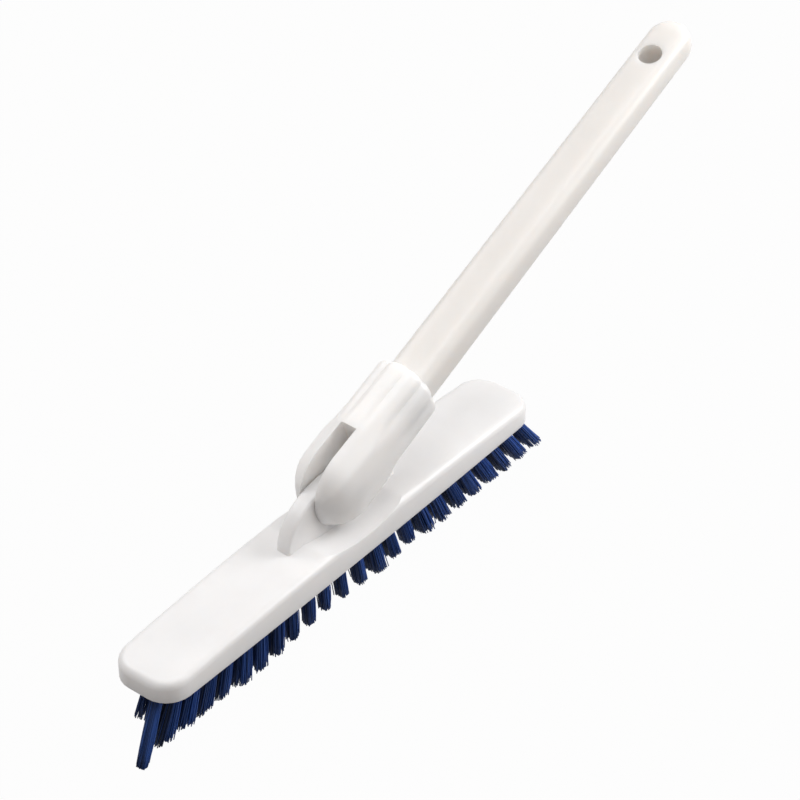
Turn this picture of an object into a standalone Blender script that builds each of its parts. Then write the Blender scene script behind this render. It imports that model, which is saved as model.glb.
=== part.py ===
"""Grout brush: a long narrow block with fanned bristle tufts, and a handle that tilts on the block's lug.

Lengths are in metres. X runs along the block, Y across it and Z up. The bristle tips rest on Z = 0.
"""
import math

import bmesh
import bpy
from mathutils import Vector

# Block
BLOCK_LENGTH = 0.278
BLOCK_END_WIDTH = 0.0384
BLOCK_SIDE_BOW = 0.0012
BLOCK_END_THICKNESS = 0.0115
BLOCK_CROWN_RISE = 0.0050
BLOCK_CORNER_RADIUS = 0.0135
BLOCK_TOP_FILLET = 0.0040
BLOCK_BOTTOM_ROUND = 0.0010

# Scoop across the block's top, which clears the yoke's round end
SCOOP_LENGTH = 0.060
SCOOP_DEPTH = 0.0040

# Lug that stands in the scoop
LUG_LENGTH = 0.080
LUG_RISE = 0.0263
LUG_SPRING_DROP = 0.0010
LUG_ROOT = 0.0060
LUG_THICKNESS = 0.0083
LUG_EDGE_RADIUS = 0.0015
LUG_POWER = 2.3

# Pivot, from the block's middle and its underside
PIVOT_OFFSET = 0.0020
PIVOT_HEIGHT = 0.0350
REST_ANGLE = math.radians(23)
PIN_RADIUS = 0.0030
PIN_SKIN = 0.0030
PIN_RECESS = 0.0010

# Yoke: two arms round the lug, and the fluted collar that holds the handle
YOKE_HEIGHT = 0.0444
YOKE_WIDTH = 0.0320
YOKE_POWER = 2.2
COLLAR_HEIGHT = 0.0400
COLLAR_WIDTH = 0.0330
COLLAR_REACH = 0.0610
COLLAR_ROUND = 0.0036
SLOT_WIDTH = 0.0092
SLOT_TOP_REACH = 0.0195
SLOT_BOTTOM_REACH = 0.0385
SLOT_KNEE = 0.0020
FLUTES = 10
FLUTE_DEPTH = 0.0012
GROOVE_HALF_ANGLE = math.radians(11)
FLUTE_START = 0.0200
FLUTE_FADE = 0.0100
RIDGE_HEIGHT = 0.0012
RIDGE_ANGLE = math.radians(54)
RIDGE_WIDTH = math.radians(15)

# Handle
HANDLE_REACH = 0.3055
HANDLE_SEAT = 0.020
HANDLE_WIDTH = 0.0230
HANDLE_HEIGHT = 0.0185
HANDLE_END_WIDTH = 0.0218
HANDLE_END_HEIGHT = 0.0155
HANDLE_CORNER = 0.0050
HANDLE_CROWN = 0.0006
HANDLE_NOSE = 0.0120
HOLE_RADIUS = 0.0063
HOLE_FROM_END = 0.0262

# Bristles
BRISTLE_HEIGHT = 0.025
TUFTS_PER_ROW = 24
ROW_SPACING = 0.0108
BACK_ROW_SHIFT = 0.0025
TUFT_END_MARGIN = 0.0079
TUFT_RADIUS = 0.0031
TUFT_SEAT = 0.0060
TIP_PITCH_ALONG = 0.0040
TIP_PITCH_ACROSS = 0.0025
TIP_HALF_ALONG = 0.0013
TIP_HALF_ACROSS = 0.0010
FAN_SLOPE_SHARE = 0.66
FRONT_SPLAY_SHARE = 0.18
TUFT_CORE_SHARE = 0.45

# Gap between pieces that touch, and how far a cutter runs past its cut
CLEARANCE = 0.0003
OVERRUN = 0.0050

# Steps round each curve
CORNER_STEPS = 7
SIDE_STEPS = 18
FILLET_STEPS = 4
SCOOP_STEPS = 20
LUG_STEPS = 36
EDGE_STEPS = 3
DOME_STEPS = 8
STEPS_PER_FLUTE = 8
BODY_STEPS = 7
SHOULDER_STEPS = 5
SLOT_STEPS = 8
PIN_STEPS = 24
HANDLE_CORNER_STEPS = 5
HANDLE_FACE_STEPS = 4
HANDLE_BODY_STEPS = 6
NOSE_STEPS = 7
HOLE_STEPS = 28
SHARP_ANGLE = math.radians(32)

# Places worked out from the sizes
UNDERSIDE = BRISTLE_HEIGHT
BLOCK_TOP = UNDERSIDE + BLOCK_END_THICKNESS + BLOCK_CROWN_RISE
SCOOP_FLOOR = BLOCK_TOP - SCOOP_DEPTH
LUG_SPRING = BLOCK_TOP - LUG_SPRING_DROP
PIVOT_LEVEL = UNDERSIDE + PIVOT_HEIGHT
SEAT_BOTTOM = COLLAR_REACH - HANDLE_SEAT
TUFT_HOLE_DEPTH = TUFT_SEAT + CLEARANCE
ROW_SPAN = BLOCK_LENGTH - 2 * TUFT_END_MARGIN


def clear_scene():
    for obj in list(bpy.data.objects):
        bpy.data.objects.remove(obj, do_unlink=True)


def material(name, colour, roughness, metallic=0.0):
    made = bpy.data.materials.new(name)
    made.use_nodes = True
    shader = made.node_tree.nodes["Principled BSDF"]
    shader.inputs["Base Color"].default_value = (*colour, 1)
    shader.inputs["Roughness"].default_value = roughness
    shader.inputs["Metallic"].default_value = metallic
    made.diffuse_color = (*colour, 1)
    return made


def empty(name, place, parent=None):
    made = bpy.data.objects.new(name, None)
    made.location = place
    made.parent = parent
    bpy.context.scene.collection.objects.link(made)
    return made


def piece(name, shape, look, parent, place=(0, 0, 0)):
    """Turns a bmesh into a named object."""
    bmesh.ops.recalc_face_normals(shape, faces=shape.faces)
    mesh = bpy.data.meshes.new(name)
    shape.to_mesh(mesh)
    shape.free()
    mesh.shade_smooth()
    mesh.set_sharp_from_angle(angle=SHARP_ANGLE)
    made = bpy.data.objects.new(name, mesh)
    made.location = place
    made.parent = parent
    if look:
        mesh.materials.append(look)
    bpy.context.scene.collection.objects.link(made)
    return made


def helper(name, shape, parent, place=(0, 0, 0)):
    """A cutter, or a form to be joined on, that isn't part of the model by itself."""
    made = piece(name, shape, None, parent, place)
    made.hide_render = True
    made.display_type = "WIRE"
    return made


def combine(target, other, operation):
    step = target.modifiers.new(other.name, "BOOLEAN")
    step.operation = operation
    step.object = other
    step.solver = "EXACT"


def loft(shape, rings, cap_first=True, cap_last=True):
    """Joins rings of equally many points with faces, and closes the two ends."""
    made = [[shape.verts.new(point) for point in ring] for ring in rings]
    for low, high in zip(made, made[1:]):
        for i in range(len(low)):
            j = (i + 1) % len(low)
            shape.faces.new((low[i], low[j], high[j], high[i]))
    if cap_first:
        shape.faces.new(made[0])
    if cap_last:
        shape.faces.new(made[-1])
    return made


def prism(outline, low, high):
    """An outline of (x, z) points carried along Y."""
    shape = bmesh.new()
    loft(shape, [[(x, y, z) for x, z in outline] for y in (low, high)])
    return shape


def rod(radius, low, high, steps, along):
    """A round bar between two places along Y or Z."""
    rings = []
    for place in (low, high):
        ring = []
        for i in range(steps):
            angle = 2 * math.pi * i / steps
            u = radius * math.cos(angle)
            v = radius * math.sin(angle)
            ring.append((u, place, v) if along == "Y" else (u, v, place))
        rings.append(ring)
    shape = bmesh.new()
    loft(shape, rings)
    return shape


def block_top(x):
    """Height of the crowned top at a place along the block, before the scoop."""
    share = min(1.0, abs(2 * x / BLOCK_LENGTH))
    return UNDERSIDE + BLOCK_END_THICKNESS + BLOCK_CROWN_RISE * (1 - share * share)


def block_half_outline(inset):
    """The front half of the block's plan from one end to the other, drawn in by an inset."""
    half = BLOCK_LENGTH / 2 - inset
    side = BLOCK_END_WIDTH / 2 - inset
    radius = BLOCK_CORNER_RADIUS - inset
    points = []
    for i in range(CORNER_STEPS + 1):
        angle = math.pi / 2 * i / CORNER_STEPS
        points.append((-half + radius - radius * math.cos(angle), -side + radius - radius * math.sin(angle)))
    run = 2 * (half - radius)
    for i in range(1, SIDE_STEPS):
        points.append((-half + radius + run * i / SIDE_STEPS, -side))
    for i in range(CORNER_STEPS + 1):
        angle = math.pi / 2 * i / CORNER_STEPS
        points.append((half - radius + radius * math.sin(angle), -side + radius - radius * math.cos(angle)))
    bowed = []
    for x, y in points:
        share = x / (BLOCK_LENGTH / 2)
        bowed.append((x, y * (1 + 2 * BLOCK_SIDE_BOW / BLOCK_END_WIDTH * (1 - share * share))))
    return bowed


def block_ring(inset, height_at):
    front = block_half_outline(inset)
    back = [(x, -y) for x, y in reversed(front)]
    return [(x, y, height_at(x)) for x, y in front + back]


def block_form():
    """The block: rings from the rounded underside over the top fillet, and a cap that follows the crown."""
    rings = [
        block_ring(BLOCK_BOTTOM_ROUND, lambda x: UNDERSIDE),
        block_ring(0, lambda x: UNDERSIDE + BLOCK_BOTTOM_ROUND),
    ]
    for i in range(FILLET_STEPS + 1):
        angle = math.pi / 2 * i / FILLET_STEPS
        inset = BLOCK_TOP_FILLET * (1 - math.cos(angle))
        drop = BLOCK_TOP_FILLET * (1 - math.sin(angle))
        rings.append(block_ring(inset, lambda x, drop=drop: block_top(x) - drop))
    shape = bmesh.new()
    made = loft(shape, rings, cap_last=False)
    top = made[-1]
    for i in range(len(top) // 2 - 1):
        shape.faces.new((top[i], top[i + 1], top[-2 - i], top[-1 - i]))
    return shape


def scoop_cutter():
    """A wide shallow trough across the block, as an arc whose chord is the scoop's length."""
    half = SCOOP_LENGTH / 2
    radius = (half * half + SCOOP_DEPTH * SCOOP_DEPTH) / (2 * SCOOP_DEPTH)
    outline = []
    for i in range(SCOOP_STEPS + 1):
        x = -half + SCOOP_LENGTH * i / SCOOP_STEPS
        outline.append((x, SCOOP_FLOOR + radius - math.sqrt(radius * radius - x * x)))
    outline.append((half, BLOCK_TOP + OVERRUN))
    outline.append((-half, BLOCK_TOP + OVERRUN))
    reach = BLOCK_END_WIDTH / 2 + BLOCK_SIDE_BOW + OVERRUN
    return prism(outline, -reach, reach)


def lug_outline(inset):
    """The lug's side view: a full rounded arch on a straight foot that runs into the block."""
    half = LUG_LENGTH / 2 - inset
    rise = LUG_RISE - inset
    outline = [(half, SCOOP_FLOOR - LUG_ROOT)]
    for i in range(LUG_STEPS + 1):
        angle = math.pi * i / LUG_STEPS
        c = math.cos(angle)
        s = math.sin(angle)
        x = math.copysign(abs(c) ** (2 / LUG_POWER), c) * half
        outline.append((x, LUG_SPRING + rise * s ** (2 / LUG_POWER) if s > 0 else LUG_SPRING))
    outline.append((-half, SCOOP_FLOOR - LUG_ROOT))
    return outline


def lug_form():
    """The lug with its rounded edges, lofted from side to side."""
    sides = []
    for i in range(EDGE_STEPS + 1):
        angle = math.pi / 2 * i / EDGE_STEPS
        inset = LUG_EDGE_RADIUS * (1 - math.sin(angle))
        sides.append((LUG_THICKNESS / 2 - LUG_EDGE_RADIUS * (1 - math.cos(angle)), inset))
    places = [(-y, inset) for y, inset in sides] + [(y, inset) for y, inset in reversed(sides)]
    shape = bmesh.new()
    loft(shape, [[(x, y, z) for x, z in lug_outline(inset)] for y, inset in places])
    return shape


def fan_slope(x):
    """Lean of a tuft along the block: the fan opens from the middle to both ends."""
    return FAN_SLOPE_SHARE * 2 * x / ROW_SPAN


def row_splay(y):
    """Lean of a tuft across the block: the front row leans outwards and the back row stands straight."""
    return -FRONT_SPLAY_SHARE if y < 0 else 0.0


def tuft_places():
    """Name and mouth of each tuft hole on the underside. The back row starts and ends one place in."""
    pitch = ROW_SPAN / (TUFTS_PER_ROW - 1)
    places = []
    for i in range(TUFTS_PER_ROW):
        places.append((f"front_tuft_{i + 1:02d}", pitch * i - ROW_SPAN / 2, -ROW_SPACING / 2))
    for i in range(1, TUFTS_PER_ROW - 1):
        x = pitch * i - ROW_SPAN / 2 + BACK_ROW_SHIFT
        places.append((f"back_tuft_{i + 1:02d}", x, ROW_SPACING / 2))
    return places


def grid_point(i, j, radius):
    """A point of a 4 by 4 grid whose rim is a circle and whose core is a smaller square."""
    u = 2 * i / 3 - 1
    v = 2 * j / 3 - 1
    if max(abs(u), abs(v)) < 1:
        reach = radius * TUFT_CORE_SHARE
        turn = math.atan2(v, u)
        return reach * math.cos(turn), reach * math.sin(turn)
    if abs(u) >= abs(v):
        turn = math.pi / 4 * v / u
        return math.copysign(radius, u) * math.cos(turn), math.copysign(radius, u) * math.sin(turn)
    turn = math.pi / 4 * u / v
    return math.copysign(radius, v) * math.sin(turn), math.copysign(radius, v) * math.cos(turn)


RIM = [(0, 0), (1, 0), (2, 0), (3, 0), (3, 1), (3, 2), (3, 3), (2, 3), (1, 3), (0, 3), (0, 2), (0, 1)]


def tuft_form(slope, splay):
    """One tuft: a round root that leans in its hole, and nine strands that spread to flat-cut tips."""
    shape = bmesh.new()
    root = {}
    for i in range(4):
        for j in range(4):
            x, y = grid_point(i, j, TUFT_RADIUS)
            root[i, j] = shape.verts.new((x, y, 0))
    cells = {}
    for i in range(3):
        for j in range(3):
            cells[i, j] = shape.faces.new((root[i, j], root[i + 1, j], root[i + 1, j + 1], root[i, j + 1]))
    for (i, j), cell in cells.items():
        along = slope * BRISTLE_HEIGHT + (i - 1) * TIP_PITCH_ALONG
        across = splay * BRISTLE_HEIGHT + (j - 1) * TIP_PITCH_ACROSS
        middle = Vector((along, across, 0))
        corners = ((-1, -1), (1, -1), (1, 1), (-1, 1))
        tips = []
        for u, v in corners:
            offset = Vector((u * TIP_HALF_ALONG, v * TIP_HALF_ACROSS, -BRISTLE_HEIGHT))
            tips.append(shape.verts.new(middle + offset))
        rim = list(cell.verts)
        for k in range(4):
            n = (k + 1) % 4
            shape.faces.new((rim[k], rim[n], tips[n], tips[k]))
        shape.faces.new(tips)
    bmesh.ops.delete(shape, geom=list(cells.values()), context="FACES_ONLY")
    seat = []
    for at in RIM:
        x, y, _ = root[at].co
        seat.append(shape.verts.new((x - slope * TUFT_SEAT, y - splay * TUFT_SEAT, TUFT_SEAT)))
    for k in range(len(RIM)):
        n = (k + 1) % len(RIM)
        shape.faces.new((root[RIM[k]], root[RIM[n]], seat[n], seat[k]))
    shape.faces.new(seat)
    return shape


def hole_cutter(places):
    """The drilled holes, one for each tuft, each leaning with its tuft."""
    shape = bmesh.new()
    for _, x, y in places:
        slope = fan_slope(x)
        splay = row_splay(y)
        rings = []
        for z in (-OVERRUN, TUFT_HOLE_DEPTH):
            points = [grid_point(i, j, TUFT_RADIUS + CLEARANCE) for i, j in RIM]
            rings.append([(x + u - slope * z, y + v - splay * z, UNDERSIDE + z) for u, v in points])
        loft(shape, rings)
    return shape


def yoke_ring(x, half_width, half_height, flute, ridge=0.0):
    """A section of the yoke square to the handle: a full oval with grooves or soft ridges."""
    ring = []
    count = FLUTES * STEPS_PER_FLUTE
    for i in range(count):
        angle = 2 * math.pi * i / count
        s = math.sin(angle)
        c = math.cos(angle)
        folded = math.atan2(abs(s), abs(c))
        crest = ridge * max(0, 1 - abs(folded - RIDGE_ANGLE) / RIDGE_WIDTH)
        off_groove = abs(angle % (2 * math.pi / FLUTES) - math.pi / FLUTES)
        groove = flute * max(0, 1 - off_groove / GROOVE_HALF_ANGLE) - crest
        y = math.copysign(abs(s) ** (2 / YOKE_POWER), s) * (half_width - groove)
        z = math.copysign(abs(c) ** (2 / YOKE_POWER), c) * (half_height - groove)
        ring.append((x, y, z))
    return ring


def yoke_form():
    """The yoke: a domed end round the pivot, an oval body, and a fluted collar with rounded shoulders."""
    half_width = YOKE_WIDTH / 2
    half_height = YOKE_HEIGHT / 2
    rings = []
    for i in range(1, DOME_STEPS):
        angle = math.pi / 2 * i / DOME_STEPS
        size = math.sin(angle)
        x = -half_height * math.cos(angle)
        rings.append(yoke_ring(x, half_width * size, half_height * size, 0, RIDGE_HEIGHT * size * size))
    shoulder = COLLAR_REACH - COLLAR_ROUND
    for i in range(BODY_STEPS):
        x = shoulder * i / BODY_STEPS
        share = i / BODY_STEPS
        wide = half_width + (COLLAR_WIDTH / 2 - half_width) * share
        tall = half_height + (COLLAR_HEIGHT / 2 - half_height) * share
        fluted = min(1, max(0, (x - FLUTE_START) / FLUTE_FADE))
        rings.append(yoke_ring(x, wide, tall, FLUTE_DEPTH * fluted, RIDGE_HEIGHT * (1 - fluted)))
    for i in range(SHOULDER_STEPS + 1):
        angle = math.pi / 2 * i / SHOULDER_STEPS
        inset = COLLAR_ROUND * (1 - math.cos(angle))
        wide = COLLAR_WIDTH / 2 - inset
        tall = COLLAR_HEIGHT / 2 - inset
        rings.append(yoke_ring(shoulder + COLLAR_ROUND * math.sin(angle), wide, tall, FLUTE_DEPTH))
    shape = bmesh.new()
    made = loft(shape, rings, cap_first=False)
    pole = shape.verts.new((-half_height, 0, 0))
    first = made[0]
    for i in range(len(first)):
        shape.faces.new((pole, first[(i + 1) % len(first)], first[i]))
    return shape


def slot_cutter():
    """The slot for the lug. Its closed end is square at the top and follows the lug's arch below."""
    edge = YOKE_HEIGHT / 2 + OVERRUN
    outline = [(-edge, -edge), (-edge, edge), (SLOT_TOP_REACH, edge)]
    for i in range(SLOT_STEPS + 1):
        angle = math.pi / 2 * i / SLOT_STEPS
        x = SLOT_TOP_REACH + (SLOT_BOTTOM_REACH - SLOT_TOP_REACH) * math.sin(angle)
        outline.append((x, -edge + (SLOT_KNEE + edge) * math.cos(angle)))
    return prism(outline, -SLOT_WIDTH / 2, SLOT_WIDTH / 2)


def handle_ring(x, width, height, grow=0.0):
    """A section of the handle: a rectangle with round corners and gently crowned faces."""
    half_width = width / 2 + grow
    half_height = height / 2 + grow
    radius = min(HANDLE_CORNER * height / HANDLE_HEIGHT, half_width, half_height)
    ring = []
    for quarter, (sy, sz) in enumerate(((1, 1), (-1, 1), (-1, -1), (1, -1))):
        middle_y = sy * (half_width - radius)
        middle_z = sz * (half_height - radius)
        for i in range(HANDLE_CORNER_STEPS + 1):
            angle = math.pi / 2 * (quarter + i / HANDLE_CORNER_STEPS)
            ring.append((middle_y + radius * math.cos(angle), middle_z + radius * math.sin(angle)))
        following = ((-1, 1), (-1, -1), (1, -1), (1, 1))[quarter]
        start = ring[-1]
        flat = quarter % 2 == 0
        end_y = following[0] * (half_width - radius) if flat else start[0]
        end_z = start[1] if flat else following[1] * (half_height - radius)
        for i in range(1, HANDLE_FACE_STEPS):
            share = i / HANDLE_FACE_STEPS
            ring.append((start[0] + (end_y - start[0]) * share, start[1] + (end_z - start[1]) * share))
    crowned = []
    for y, z in ring:
        lift = HANDLE_CROWN * height / HANDLE_HEIGHT
        out = lift * (1 - (y / half_width) ** 2)
        wide = lift * (1 - (z / half_height) ** 2)
        crowned.append((x, y + wide * y / half_width, z + out * z / half_height))
    return crowned


def handle_form():
    """The handle: a gentle taper from the collar to a rounded end."""
    start = SEAT_BOTTOM + CLEARANCE
    nose = HANDLE_REACH - HANDLE_NOSE
    rings = []
    for i in range(HANDLE_BODY_STEPS + 1):
        share = i / HANDLE_BODY_STEPS
        seated = max(0, (share * (nose - start) - HANDLE_SEAT) / (nose - start - HANDLE_SEAT))
        width = HANDLE_WIDTH + (HANDLE_END_WIDTH - HANDLE_WIDTH) * seated
        height = HANDLE_HEIGHT + (HANDLE_END_HEIGHT - HANDLE_HEIGHT) * seated
        rings.append(handle_ring(start + share * (nose - start), width, height))
    for i in range(1, NOSE_STEPS):
        angle = math.pi / 2 * i / NOSE_STEPS
        x = nose + HANDLE_NOSE * math.sin(angle)
        width = HANDLE_END_WIDTH * math.cos(angle) ** 0.8
        rings.append(handle_ring(x, width, HANDLE_END_HEIGHT * math.cos(angle) ** 0.4))
    shape = bmesh.new()
    loft(shape, rings)
    return shape


def seat_cutter():
    """The collar's socket, a running copy of the handle's section with its clearance."""
    shape = bmesh.new()
    places = (SEAT_BOTTOM, COLLAR_REACH + OVERRUN)
    loft(shape, [handle_ring(x, HANDLE_WIDTH, HANDLE_HEIGHT, CLEARANCE) for x in places])
    return shape


def centre_on_origin(root):
    """Moves the whole brush so that the origin lies under the middle of its box."""
    bpy.context.view_layer.update()
    found = []
    for obj in bpy.context.scene.objects:
        if obj.type == "MESH" and not obj.hide_render:
            found += [(obj.matrix_world @ vert.co).x for vert in obj.data.vertices]
    root.location.x -= (min(found) + max(found)) / 2


def main():
    clear_scene()
    head_white = material("head_plastic", (0.84, 0.83, 0.825), 0.38)
    yoke_white = material("yoke_plastic", (0.83, 0.815, 0.80), 0.40)
    handle_white = material("handle_plastic", (0.85, 0.835, 0.80), 0.36)
    blue = material("blue_bristle", (0.02, 0.055, 0.22), 0.45)
    steel = material("pin_steel", (0.62, 0.62, 0.63), 0.30, 1.0)

    root = empty("brush_frame", (0, 0, 0))
    places = tuft_places()

    block = piece("brush_block", block_form(), head_white, root)
    combine(block, helper("scoop_cut", scoop_cutter(), root, (PIVOT_OFFSET, 0, 0)), "DIFFERENCE")
    combine(block, helper("lug_shape", lug_form(), root, (PIVOT_OFFSET, 0, 0)), "UNION")
    lug_side = LUG_THICKNESS / 2 + OVERRUN / 2
    lug_bore = rod(PIN_RADIUS + CLEARANCE, -lug_side, lug_side, PIN_STEPS, "Y")
    combine(block, helper("lug_bore_cut", lug_bore, root, (PIVOT_OFFSET, 0, PIVOT_LEVEL)), "DIFFERENCE")
    combine(block, helper("tuft_hole_cut", hole_cutter(places), root), "DIFFERENCE")

    for name, x, y in places:
        piece(name, tuft_form(fan_slope(x), row_splay(y)), blue, root, (x, y, UNDERSIDE))

    pivot = empty("yoke_pivot", (PIVOT_OFFSET, 0, PIVOT_LEVEL), root)
    pivot.rotation_euler = (0, -REST_ANGLE, 0)
    yoke = piece("yoke_socket", yoke_form(), yoke_white, pivot)
    combine(yoke, helper("slot_cut", slot_cutter(), pivot), "DIFFERENCE")
    blind = -YOKE_WIDTH / 2 + PIN_SKIN
    open_end = YOKE_WIDTH / 2
    bore = rod(PIN_RADIUS + CLEARANCE, blind, open_end + OVERRUN, PIN_STEPS, "Y")
    combine(yoke, helper("yoke_bore_cut", bore, pivot), "DIFFERENCE")
    combine(yoke, helper("seat_cut", seat_cutter(), pivot), "DIFFERENCE")
    pin = rod(PIN_RADIUS, blind + CLEARANCE, open_end - PIN_RECESS, PIN_STEPS, "Y")
    piece("pivot_pin", pin, steel, pivot)

    handle = piece("handle", handle_form(), handle_white, pivot)
    through = HANDLE_HEIGHT / 2 + HANDLE_CROWN + OVERRUN
    hang = rod(HOLE_RADIUS, -through, through, HOLE_STEPS, "Z")
    combine(handle, helper("hang_hole_cut", hang, pivot, (HANDLE_REACH - HOLE_FROM_END, 0, 0)), "DIFFERENCE")

    centre_on_origin(root)


main()
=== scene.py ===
"""Looks for the grout brush: fine bristles, moulded plastic, a pale floor, soft light and the camera."""
import math
import random

import bmesh
import bpy
from mathutils import Matrix, Vector


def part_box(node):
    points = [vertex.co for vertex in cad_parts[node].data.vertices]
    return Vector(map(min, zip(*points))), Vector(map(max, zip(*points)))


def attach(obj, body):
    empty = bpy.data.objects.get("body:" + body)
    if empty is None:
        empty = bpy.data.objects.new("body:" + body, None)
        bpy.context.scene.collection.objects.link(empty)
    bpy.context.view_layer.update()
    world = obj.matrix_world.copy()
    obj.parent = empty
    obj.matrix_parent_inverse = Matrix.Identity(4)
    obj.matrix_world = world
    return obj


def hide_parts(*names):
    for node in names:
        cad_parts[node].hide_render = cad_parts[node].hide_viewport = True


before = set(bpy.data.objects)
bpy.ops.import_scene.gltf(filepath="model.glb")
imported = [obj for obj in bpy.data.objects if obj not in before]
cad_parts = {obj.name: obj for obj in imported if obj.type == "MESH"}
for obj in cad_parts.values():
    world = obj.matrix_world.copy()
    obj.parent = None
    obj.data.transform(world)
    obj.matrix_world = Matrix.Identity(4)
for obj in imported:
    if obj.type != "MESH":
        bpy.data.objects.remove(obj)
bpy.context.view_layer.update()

# Layout that the bristles share with the tufts of the model, in metres
ROW_SPACING = 0.0108
BACK_ROW_SHIFT = 0.0025
TUFTS_PER_ROW = 24
TUFT_END_MARGIN = 0.0079
TUFT_RADIUS = 0.0031
FAN_SLOPE_SHARE = 0.66
FRONT_SPLAY_SHARE = 0.18

# Tips of a tuft: half sizes along and across the block, more towards the ends. The back row fans out less
TIP_HALF_LENGTH = 0.0049
TIP_HALF_WIDTH = 0.0055
END_SPREAD = 0.10
BACK_FAN_SHARE = 0.64

# Factor on the size of a tuft's tips, by its place in the row. The narrow ones let light through
TIP_FACTORS = {1: 0.40, 2: 1.14, 3: 1.14, 4: 1.14, 5: 1.10, 6: 1.06, 8: 0.82, 9: 0.66, 10: 0.50, 11: 0.43,
               12: 0.52, 13: 0.66, 15: 0.76, 16: 0.58}

# How far the tips of the front row's first tufts are pushed along and across the block, by place in the row
FRONT_PUSHES = {1: (-0.0055, -0.0040), 2: (0, 0.0030), 3: (0, 0.0030), 4: (0, 0.0025), 5: (0, 0.0020),
                6: (0, 0.0008)}

# Filaments: round strands, spread evenly over a tuft from inside its hole
FILAMENTS = 250
FILAMENT_RADIUS = 0.00026
FILAMENT_SIDES = 5
FILAMENT_STEPS = 5
ROOT_SHARE = 0.92
ROOT_DEPTH = 0.0020
GOLDEN_ANGLE = math.pi * (3 - math.sqrt(5))
TURN_JITTER = 0.15
SEEDS_PER_ROW = 100

# How a tuft opens from its round root to a nearly square tip, in loose clumps
RIM_POWER = 0.40
BOX_POWER = 7.0
FLARE_POWER = 0.50
CLUMPS = 8
CLUMP_REACH = 0.9
CLUMP_SHARE = 0.22
TIP_JITTER = 0.00035

# Slight bends, a few strays, and a trim that isn't quite level
BEND = 0.00035
BEND_SPAN = 0.85
STRAY_SHARE = 0.05
STRAY_BEND = 0.0011
TRIM_SLOPE = 0.0005
TRIM_JITTER = 0.0005
SHORT_SHARE = 0.10
SHORT_MOST = 0.0022

# Shorter strands that stand out from the first tufts at the near end
LOOSE_TUFTS = 2
LOOSE_SHARE = 0.04
LOOSE_OUT = 0.0035
LOOSE_SHORT = 0.0070

# Tone of a strand from 0 to 1 with painted shade: darkest on its tuft's near side and lightest on its far
# side, as light would fall, plus a random shade for each tuft and each strand
PAINTED_SHADE_TONE = 0.10
PAINTED_SHADE_RANGE = 0.56
PAINTED_SHADE_POWER = 1.8
TUFT_SHADES = 0.07
STRAND_SHADES = 0.08

# Skin of the moulded pieces
WELD_DISTANCE = 0.000005
SHARP_ANGLE = math.radians(32)
ROUGHNESS_SWING = 0.09

# Floor and world: their colours and light, and how nearly white the camera sees the floor
FLOOR_HALF_SIZE = 6.0
FLOOR_GAP = 0.0002
FLOOR_COLOUR = (0.24, 0.225, 0.215, 1)
FLOOR_GLOW = 0.975
WORLD_COLOUR = (1, 0.955, 0.93, 1)
WORLD_STRENGTH = 0.37
WHITE = (1, 1, 1, 1)

# Point that the lamps look at
LAMP_AIM = (0, 0, 0.05)

# Camera, fitted to the outline of the block and handle in the photograph
AZIMUTH = math.radians(-52.04)
ELEVATION = math.radians(36.99)
ROLL = math.radians(0.23)
SHIFT_ACROSS = -0.03169
SHIFT_UP = -0.06674
DISTANCE = 1.300
PIXELS_PER_METRE = 2080
PICTURE_SIZE = 800
SENSOR = 36

BLOCK_LOW, BLOCK_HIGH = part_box("brush_block")
MIDDLE_X = (BLOCK_LOW.x + BLOCK_HIGH.x) / 2
UNDERSIDE = BLOCK_LOW.z
ROW_SPAN = BLOCK_HIGH.x - BLOCK_LOW.x - 2 * TUFT_END_MARGIN


def node(tree, kind, place, **values):
    """A shader node with its settings. A value whose name is a socket's is set on that socket."""
    made = tree.nodes.new(kind)
    made.location = place
    for name, value in values.items():
        if name in made.inputs:
            made.inputs[name].default_value = value
        else:
            setattr(made, name, value)
    return made


def ramp(tree, place, stops, source):
    """A colour ramp fed by source. stops is [(position, colour)]."""
    made = node(tree, "ShaderNodeValToRGB", place)
    band = made.color_ramp
    band.elements[0].position, band.elements[0].color = stops[0][0], (*stops[0][1], 1)
    band.elements[1].position, band.elements[1].color = stops[-1][0], (*stops[-1][1], 1)
    for position, colour in stops[1:-1]:
        band.elements.new(position).color = (*colour, 1)
    tree.links.new(source, made.inputs["Fac"])
    return made


def spread(tree, place, source, low, high):
    """source, which runs from 0 to 1, carried to a range."""
    made = node(tree, "ShaderNodeMapRange", place)
    made.inputs["To Min"].default_value = low
    made.inputs["To Max"].default_value = high
    tree.links.new(source, made.inputs["Value"])
    return made


def blank_material(name):
    """A new material, its node tree and its Principled shader."""
    made = bpy.data.materials.new(name)
    made.use_nodes = True
    return made, made.node_tree, made.node_tree.nodes["Principled BSDF"]


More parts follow.
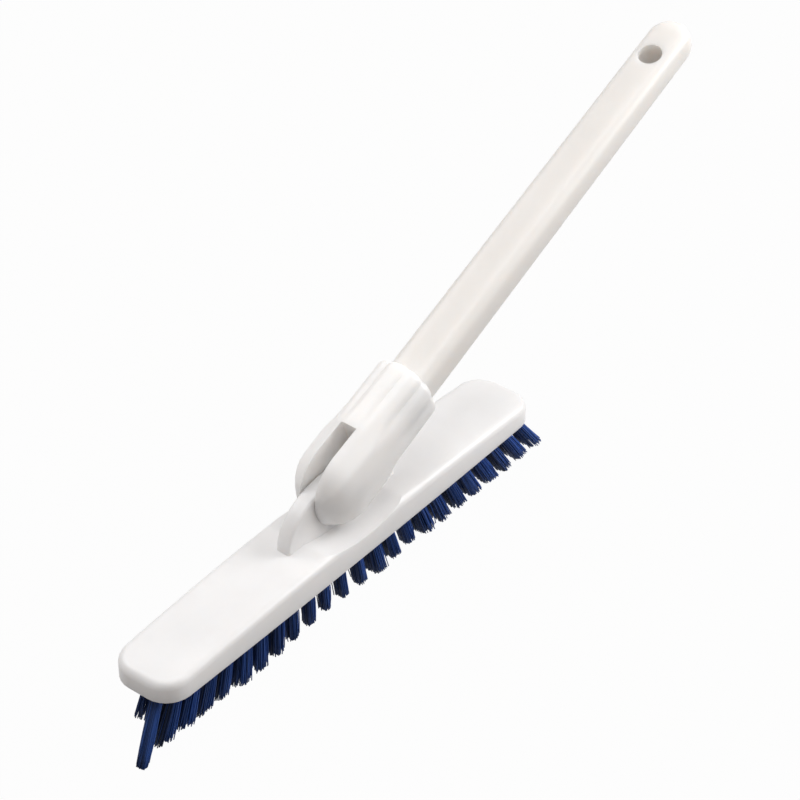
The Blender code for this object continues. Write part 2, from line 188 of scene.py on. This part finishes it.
def moulded_plastic(name, pale, shaded, roughness, depth):
    """Injection-moulded plastic: faint cloudiness, a fine orange-peel skin and light rubbing marks.

    depth is how much of the light scatters under the surface."""
    made, tree, shader = blank_material(name)
    links = tree.links
    where = node(tree, "ShaderNodeTexCoord", (-1200, 0))
    clouds = node(tree, "ShaderNodeTexNoise", (-900, 200), Scale=28.0, Detail=4.0, Roughness=0.55)
    links.new(where.outputs["Object"], clouds.inputs["Vector"])
    tint = ramp(tree, (-650, 200), [(0.30, shaded), (0.70, pale)], clouds.outputs["Fac"])
    links.new(tint.outputs["Color"], shader.inputs["Base Color"])
    stretch = node(tree, "ShaderNodeMapping", (-1000, -150), Scale=(1.0, 6.0, 3.0))
    links.new(where.outputs["Object"], stretch.inputs["Vector"])
    rubbed = node(tree, "ShaderNodeTexNoise", (-800, -150), Scale=120.0, Detail=6.0, Roughness=0.7)
    links.new(stretch.outputs["Vector"], rubbed.inputs["Vector"])
    dull = spread(tree, (-550, -150), rubbed.outputs["Fac"], roughness - ROUGHNESS_SWING,
                  roughness + ROUGHNESS_SWING)
    links.new(dull.outputs["Result"], shader.inputs["Roughness"])
    peel = node(tree, "ShaderNodeTexNoise", (-800, -450), Scale=900.0, Detail=2.0)
    links.new(where.outputs["Object"], peel.inputs["Vector"])
    sink = node(tree, "ShaderNodeTexNoise", (-800, -650), Scale=45.0, Detail=1.0)
    links.new(where.outputs["Object"], sink.inputs["Vector"])
    fine = node(tree, "ShaderNodeBump", (-500, -450), Strength=0.10, Distance=0.0002)
    links.new(peel.outputs["Fac"], fine.inputs["Height"])
    broad = node(tree, "ShaderNodeBump", (-300, -550), Strength=0.12, Distance=0.0012)
    links.new(sink.outputs["Fac"], broad.inputs["Height"])
    links.new(fine.outputs["Normal"], broad.inputs["Normal"])
    links.new(broad.outputs["Normal"], shader.inputs["Normal"])
    shader.inputs["Specular IOR Level"].default_value = 0.5
    shader.inputs["Subsurface Weight"].default_value = depth
    shader.inputs["Subsurface Radius"].default_value = (1.0, 0.92, 0.85)
    shader.inputs["Subsurface Scale"].default_value = 0.012
    return made


def bristle_material():
    """Stiff drawn nylon: each strand has its own tone of navy, with painted shade on each tuft's near side,
    and a soft shine along it.
    """
    made, tree, shader = blank_material("bristle_nylon")
    links = tree.links
    tone_and_painted_shade = node(tree, "ShaderNodeAttribute", (-900, 100), attribute_name="tone_and_painted_shade")
    # The dark end of these navies serves the painted shade on the tufts' near sides, the light end the
    # painted light on their far sides
    navies = [(0.0, (0.005, 0.010, 0.025)), (0.5, (0.019, 0.064, 0.255)), (1.0, (0.040, 0.120, 0.480))]
    tint = ramp(tree, (-600, 100), navies, tone_and_painted_shade.outputs["Fac"])
    links.new(tint.outputs["Color"], shader.inputs["Base Color"])
    where = node(tree, "ShaderNodeTexCoord", (-1100, -200))
    grain = node(tree, "ShaderNodeTexNoise", (-850, -200), Scale=700.0, Detail=2.0)
    links.new(where.outputs["Object"], grain.inputs["Vector"])
    dull = spread(tree, (-600, -200), grain.outputs["Fac"], 0.42, 0.60)
    links.new(dull.outputs["Result"], shader.inputs["Roughness"])
    shader.inputs["Specular IOR Level"].default_value = 0.25
    return made


def pin_material():
    """Bare steel, turned round its length, with fine rings of the tool on its ends."""
    made, tree, shader = blank_material("pin_steel_turned")
    links = tree.links
    shader.inputs["Metallic"].default_value = 1.0
    where = node(tree, "ShaderNodeTexCoord", (-1000, 0))
    stretch = node(tree, "ShaderNodeMapping", (-800, 0), Scale=(1.0, 40.0, 1.0))
    links.new(where.outputs["Object"], stretch.inputs["Vector"])
    rings = node(tree, "ShaderNodeTexNoise", (-600, 0), Scale=160.0, Detail=3.0)
    links.new(stretch.outputs["Vector"], rings.inputs["Vector"])
    greys = [(0.3, (0.52, 0.52, 0.53)), (0.7, (0.68, 0.68, 0.69))]
    tint = ramp(tree, (-350, 150), greys, rings.outputs["Fac"])
    links.new(tint.outputs["Color"], shader.inputs["Base Color"])
    dull = spread(tree, (-350, -150), rings.outputs["Fac"], 0.22, 0.42)
    links.new(dull.outputs["Result"], shader.inputs["Roughness"])
    return made


def fan_slope(x, y):
    """Lean of a tuft along the block. The rows open like a fan from the block's middle, where x is 0."""
    slope = FAN_SLOPE_SHARE * 2 * x / ROW_SPAN
    return slope if y < 0 else slope * BACK_FAN_SHARE


def row_splay(y):
    """Lean of a tuft across the block: the front row leans outwards and the back row stands straight."""
    return -FRONT_SPLAY_SHARE if y < 0 else 0.0


def place_in_tip(reach, turn, clumps):
    """Where a strand ends in its tuft's nearly square tip, from -1 to 1 both ways, drawn to its clump."""
    cosine, sine = math.cos(turn), math.sin(turn)
    square = (abs(cosine) ** BOX_POWER + abs(sine) ** BOX_POWER) ** (1 / BOX_POWER)
    boxed = Vector((reach * cosine, reach * sine)) / square
    clump = min(clumps, key=lambda middle: (middle - boxed).length)
    return boxed.lerp(clump, CLUMP_SHARE * reach)


def add_filament(shape, tone_and_painted_shade, value, centres, lean, start):
    """One closed round strand. Its level rings go round the centres, and are longer the more it leans."""
    rings = []
    for centre in centres:
        ring = []
        for side in range(FILAMENT_SIDES):
            angle = 2 * math.pi * side / FILAMENT_SIDES + start
            out = Vector((FILAMENT_RADIUS * lean * math.cos(angle), FILAMENT_RADIUS * math.sin(angle), 0))
            corner = shape.verts.new(centre + out)
            corner[tone_and_painted_shade] = value
            ring.append(corner)
        rings.append(ring)
    for upper, lower in zip(rings, rings[1:]):
        for side in range(FILAMENT_SIDES):
            following = (side + 1) % FILAMENT_SIDES
            face = shape.faces.new((upper[side], lower[side], lower[following], upper[following]))
            face.smooth = True
    shape.faces.new(rings[-1])
    shape.faces.new(list(reversed(rings[0])))


def tuft(name, target, x, y, wide, push, loose, seed, look):
    """One tuft of separate round filaments, from inside its hole to tips that are trimmed level."""
    draw = random.Random(seed)
    slope = fan_slope(x, y)
    splay = row_splay(y)
    lean = math.sqrt(1 + slope * slope)
    top = UNDERSIDE + ROOT_DEPTH
    shape = bmesh.new()
    # Each strand's tone carries painted shade across its tuft as well as a random tone
    tone_and_painted_shade = shape.verts.layers.float.new("tone_and_painted_shade")
    shade = draw.uniform(-TUFT_SHADES, TUFT_SHADES)
    clumps = []
    for _ in range(CLUMPS):
        along = draw.uniform(-CLUMP_REACH, CLUMP_REACH)
        across = draw.uniform(-CLUMP_REACH, CLUMP_REACH)
        clumps.append(Vector((along, across)))
    cut = Vector((draw.gauss(0, TRIM_SLOPE), draw.gauss(0, TRIM_SLOPE)))
    for k in range(FILAMENTS):
        reach = ((k + 0.5) / FILAMENTS) ** RIM_POWER
        turn = k * GOLDEN_ANGLE + draw.uniform(-TURN_JITTER, TURN_JITTER)
        root = Vector((reach * math.cos(turn), reach * math.sin(turn), 0)) * (TUFT_RADIUS * ROOT_SHARE)
        boxed = place_in_tip(reach, turn, clumps)
        tip = Vector((boxed.x * (TIP_HALF_LENGTH * wide - FILAMENT_RADIUS),
                      boxed.y * (TIP_HALF_WIDTH * wide - FILAMENT_RADIUS), 0))
        tip += Vector((draw.gauss(0, TIP_JITTER), draw.gauss(0, TIP_JITTER), 0))
        bend = STRAY_BEND if draw.random() < STRAY_SHARE else BEND
        sway = Vector((draw.gauss(0, bend), draw.gauss(0, bend), 0))
        trim = max(0.0, draw.gauss(0, TRIM_JITTER) + cut.dot(boxed))
        if draw.random() < SHORT_SHARE:
            trim += draw.uniform(0, SHORT_MOST)
        if loose and draw.random() < LOOSE_SHARE:
            out = draw.random()
            tip.x -= LOOSE_OUT * out
            trim += LOOSE_SHORT * out
        # Painted shade: a strand is darker the nearer it lies to its tuft's near side, as if shaded by the
        # tufts beside it
        value = PAINTED_SHADE_TONE + PAINTED_SHADE_RANGE * (1 - max(0.0, (1 - boxed.x) / 2) ** PAINTED_SHADE_POWER)
        value += shade + draw.gauss(0, STRAND_SHADES)
        centres = []
        for step in range(FILAMENT_STEPS + 1):
            share = step / FILAMENT_STEPS
            z = top + (trim - top) * share
            down = UNDERSIDE - z
            opened = max(0.0, down / UNDERSIDE) ** FLARE_POWER
            flat = root.lerp(tip, opened) + push * (down / UNDERSIDE)
            flat += sway * math.sin(math.pi * share * BEND_SPAN)
            centres.append(Vector((MIDDLE_X + x + slope * down + flat.x, y + splay * down + flat.y, z)))
        add_filament(shape, tone_and_painted_shade, min(1.0, max(0.0, value)), centres, lean, k)
    bmesh.ops.recalc_face_normals(shape, faces=shape.faces)
    mesh = bpy.data.meshes.new(name)
    shape.to_mesh(mesh)
    shape.free()
    mesh.materials.append(look)
    made = bpy.data.objects.new(name, mesh)
    bpy.context.scene.collection.objects.link(made)
    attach(made, "head")
    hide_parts(target)
    return made


def bristle_row(row, y, first, shift, look):
    """The tufts of one row, without its first and last ones where first is 1."""
    pushes = FRONT_PUSHES if row == "front" else {}
    for i in range(first, TUFTS_PER_ROW - first):
        x = -ROW_SPAN / 2 + ROW_SPAN * i / (TUFTS_PER_ROW - 1) + shift
        wide = TIP_FACTORS.get(i + 1, 1.0) * (1 + END_SPREAD * abs(2 * x / ROW_SPAN))
        push = Vector(pushes.get(i + 1, (0, 0))).to_3d()
        tuft(f"{row}_bristles_{i + 1:02d}", f"{row}_tuft_{i + 1:02d}", x, y, wide, push, i < LOOSE_TUFTS,
             SEEDS_PER_ROW * first + i, look)


def bristles(look):
    """All the tufts of both rows. The back row starts one place further in, as in the model."""
    bristle_row("front", -ROW_SPACING / 2, 0, 0, look)
    bristle_row("back", ROW_SPACING / 2, 1, BACK_ROW_SHIFT, look)


def welded_skin():
    """A modifier tree that joins a mesh's loose triangles and shades them smooth up to a sharp angle."""
    tree = bpy.data.node_groups.new("welded_skin", "GeometryNodeTree")
    tree.interface.new_socket("Geometry", in_out="INPUT", socket_type="NodeSocketGeometry")
    tree.interface.new_socket("Geometry", in_out="OUTPUT", socket_type="NodeSocketGeometry")
    source = node(tree, "NodeGroupInput", (-600, 0))
    weld = node(tree, "GeometryNodeMergeByDistance", (-400, 0), Distance=WELD_DISTANCE)
    angle = node(tree, "GeometryNodeInputMeshEdgeAngle", (-600, -200))
    sharp = node(tree, "FunctionNodeCompare", (-400, -200), data_type="FLOAT", operation="GREATER_THAN")
    sharp.inputs["B"].default_value = SHARP_ANGLE
    shade = node(tree, "GeometryNodeSetMeshNormal", (-200, 0))
    shade.inputs["Remove Custom"].default_value = True
    shade.inputs["Face Sharpness"].default_value = False
    end = node(tree, "NodeGroupOutput", (0, 0))
    tree.links.new(source.outputs[0], weld.inputs["Geometry"])
    tree.links.new(angle.outputs["Unsigned Angle"], sharp.inputs["A"])
    tree.links.new(sharp.outputs["Result"], shade.inputs["Edge Sharpness"])
    tree.links.new(weld.outputs["Geometry"], shade.inputs["Mesh"])
    tree.links.new(shade.outputs["Mesh"], end.inputs[0])
    return tree


def dress(name, look):
    """Gives a CAD node its material and its smooth skin."""
    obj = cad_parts[name]
    obj.modifiers.new("skin", "NODES").node_group = SKIN
    if not obj.material_slots:
        obj.data.materials.append(look)
    for place in obj.material_slots:
        place.material = look


def pale_floor():
    """A plain pale floor that the camera sees nearly white, and that keeps the brush's shadow."""
    mesh = bpy.data.meshes.new("floor")
    half = FLOOR_HALF_SIZE
    corners = [(-half, -half, 0), (half, -half, 0), (half, half, 0), (-half, half, 0)]
    mesh.from_pydata(corners, [], [(0, 1, 2, 3)])
    floor = bpy.data.objects.new("floor", mesh)
    floor.location = (0, 0, -FLOOR_GAP)
    bpy.context.scene.collection.objects.link(floor)
    made, tree, shader = blank_material("floor_pale")
    shader.inputs["Base Color"].default_value = FLOOR_COLOUR
    shader.inputs["Roughness"].default_value = 0.9
    shader.inputs["Specular IOR Level"].default_value = 0.0
    path = node(tree, "ShaderNodeLightPath", (-400, 300))
    seen = node(tree, "ShaderNodeMath", (-200, 300), operation="MAXIMUM")
    tree.links.new(path.outputs["Is Camera Ray"], seen.inputs[0])
    tree.links.new(path.outputs["Is Glossy Ray"], seen.inputs[1])
    share = node(tree, "ShaderNodeMath", (0, 300), operation="MULTIPLY")
    tree.links.new(seen.outputs[0], share.inputs[0])
    share.inputs[1].default_value = FLOOR_GLOW
    glow = node(tree, "ShaderNodeEmission", (0, 100), Color=WHITE, Strength=1.0)
    mix = node(tree, "ShaderNodeMixShader", (250, 200))
    tree.links.new(share.outputs[0], mix.inputs["Fac"])
    tree.links.new(shader.outputs[0], mix.inputs[1])
    tree.links.new(glow.outputs[0], mix.inputs[2])
    tree.links.new(mix.outputs[0], tree.nodes["Material Output"].inputs["Surface"])
    mesh.materials.append(made)


def studio_world():
    """Soft even light from all round, and white where the camera looks past the floor."""
    world = bpy.data.worlds.new("studio")
    bpy.context.scene.world = world
    world.use_nodes = True
    tree = world.node_tree
    light = tree.nodes["Background"]
    light.inputs["Color"].default_value = WORLD_COLOUR
    light.inputs["Strength"].default_value = WORLD_STRENGTH
    seen = node(tree, "ShaderNodeBackground", (0, -200), Color=WHITE)
    path = node(tree, "ShaderNodeLightPath", (-200, 300))
    mix = node(tree, "ShaderNodeMixShader", (250, 0))
    tree.links.new(path.outputs["Is Camera Ray"], mix.inputs["Fac"])
    tree.links.new(light.outputs[0], mix.inputs[1])
    tree.links.new(seen.outputs[0], mix.inputs[2])
    tree.links.new(mix.outputs[0], tree.nodes["World Output"].inputs["Surface"])


def soft_box(name, place, size, power):
    """A square area lamp that looks at the brush."""
    lamp = bpy.data.lights.new(name, "AREA")
    lamp.shape = "SQUARE"
    lamp.size = size
    lamp.energy = power
    made = bpy.data.objects.new(name, lamp)
    made.location = place
    made.rotation_mode = "QUATERNION"
    made.rotation_quaternion = (Vector(LAMP_AIM) - Vector(place)).to_track_quat("-Z", "Y")
    bpy.context.scene.collection.objects.link(made)


def camera():
    """The camera at the photograph's viewing angle."""
    back = Vector((math.sin(AZIMUTH) * math.cos(ELEVATION), -math.cos(AZIMUTH) * math.cos(ELEVATION),
                   math.sin(ELEVATION)))
    level = Vector((math.cos(AZIMUTH), math.sin(AZIMUTH), 0))
    upright = back.cross(level)
    right = level * math.cos(ROLL) + upright * math.sin(ROLL)
    up = upright * math.cos(ROLL) - level * math.sin(ROLL)
    place = Vector((MIDDLE_X, 0, UNDERSIDE)) + back * DISTANCE - right * SHIFT_ACROSS - up * SHIFT_UP
    data = bpy.data.cameras.new("camera")
    data.sensor_width = SENSOR
    data.lens = SENSOR * PIXELS_PER_METRE * DISTANCE / PICTURE_SIZE
    data.clip_start = 0.05
    data.clip_end = 50
    made = bpy.data.objects.new("camera", data)
    turn = Matrix((right, up, back)).transposed().to_4x4()
    made.matrix_world = Matrix.Translation(place) @ turn
    bpy.context.scene.collection.objects.link(made)
    bpy.context.scene.camera = made


SKIN = welded_skin()
dress("brush_block", moulded_plastic("head_white", pale=(0.835, 0.83, 0.83), shaded=(0.785, 0.78, 0.78),
                                     roughness=0.36, depth=0.45))
dress("yoke_socket", moulded_plastic("yoke_white", pale=(0.93, 0.915, 0.90), shaded=(0.88, 0.865, 0.85),
                                     roughness=0.38, depth=0.55))
dress("handle", moulded_plastic("handle_white", pale=(0.79, 0.77, 0.745), shaded=(0.755, 0.735, 0.71),
                                roughness=0.34, depth=0.8))
dress("pivot_pin", pin_material())
bristles(bristle_material())
pale_floor()
studio_world()
soft_box("top_light", place=(-0.35, 0.1, 2.0), size=1.5, power=16)
soft_box("left_light", place=(-0.15, 1.45, 1.50), size=1.0, power=13)
soft_box("right_light", place=(0.75, -0.64, 0.62), size=0.7, power=10)
camera()

bpy.context.scene.view_settings.view_transform = "Standard"
